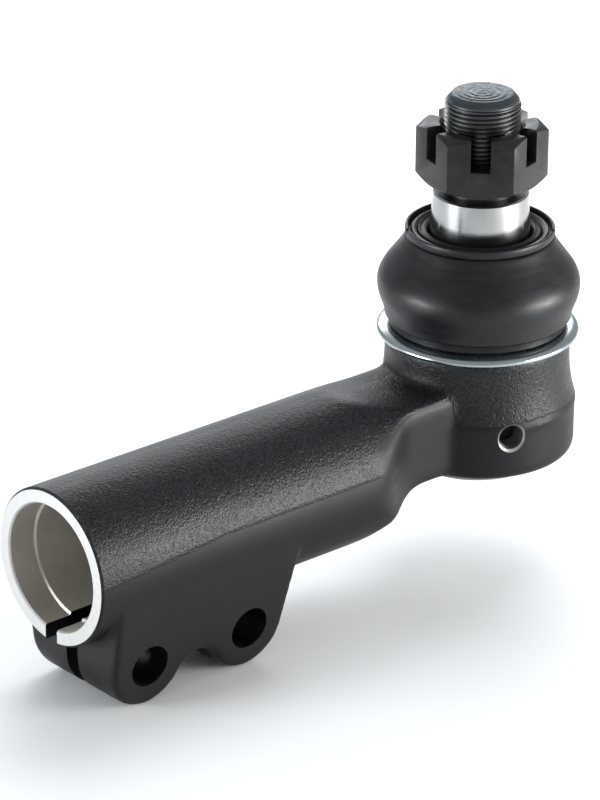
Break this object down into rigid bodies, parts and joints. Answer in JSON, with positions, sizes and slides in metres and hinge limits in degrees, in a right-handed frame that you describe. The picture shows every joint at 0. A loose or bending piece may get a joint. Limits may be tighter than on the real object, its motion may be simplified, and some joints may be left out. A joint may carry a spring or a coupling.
{
  "type": "tie rod end",
  "caption": "Tie rod end with a ball stud, castle nut and dust boot on a forged housing, and a split clamp socket with bolt lugs at its other end.",
  "frame": {"origin": "centre of the socket mouth, on the socket's axis", "axes": "+X along the socket from its mouth towards the ball stud; +Z along the ball stud at rest, towards its thread; +Y across"},
  "size_m": [0.2056, 0.0644, 0.1557],
  "materials": {
    "body_paint": "satin black paint over a rough forged skin, bare machined steel at the socket mouth and bore",
    "seat_resin": "moulded bearing resin, greased",
    "spring_steel": "blue-grey spring steel",
    "plug_steel": "pressed steel, satin",
    "seal_rubber": "satin black rubber",
    "zinc_plate": "bluish white zinc plate",
    "boot_rubber": "satin black moulded rubber",
    "ground_steel": "ground steel taper, dark oiled thread",
    "black_oxide": "black oxide, satin"
  },
  "bodies": {
    "housing": {"forged_body": "body_paint", "upper_ball_seat": "seat_resin", "lower_ball_seat": "seat_resin", "preload_spring": "spring_steel", "end_plug": "plug_steel", "plug_seal": "seal_rubber", "boot_base_ring": "zinc_plate"},
    "boot": {"dust_boot": "boot_rubber"},
    "boot_top": {"boot_top_ring": "seal_rubber", "stud_seal_ring": "seal_rubber"},
    "stud": {"ball_stud": "ground_steel"},
    "nut": {"castle_nut": "black_oxide"}
  },
  "joints": [
    {"name": "stud_tilt_x", "type": "hinge", "parent": "housing", "child": "boot", "pos_m": [0.1733, 0, 0.011], "axis": [1, 0, 0], "range_deg": [-18, 18], "deforming": ["dust_boot"]},
    {"name": "stud_tilt_y", "type": "hinge", "parent": "boot", "child": "boot_top", "pos_m": [0.1733, 0, 0.011], "axis": [0, 1, 0], "range_deg": [-18, 18]},
    {"name": "stud_spin", "type": "hinge", "parent": "boot_top", "child": "stud", "pos_m": [0.1733, 0, 0.011], "axis": [0, 0, 1], "continuous": true},
    {"name": "nut_travel", "type": "slide", "parent": "stud", "child": "nut", "axis": [0, 0, 1], "range_m": [0, 0.032]}
  ]
}
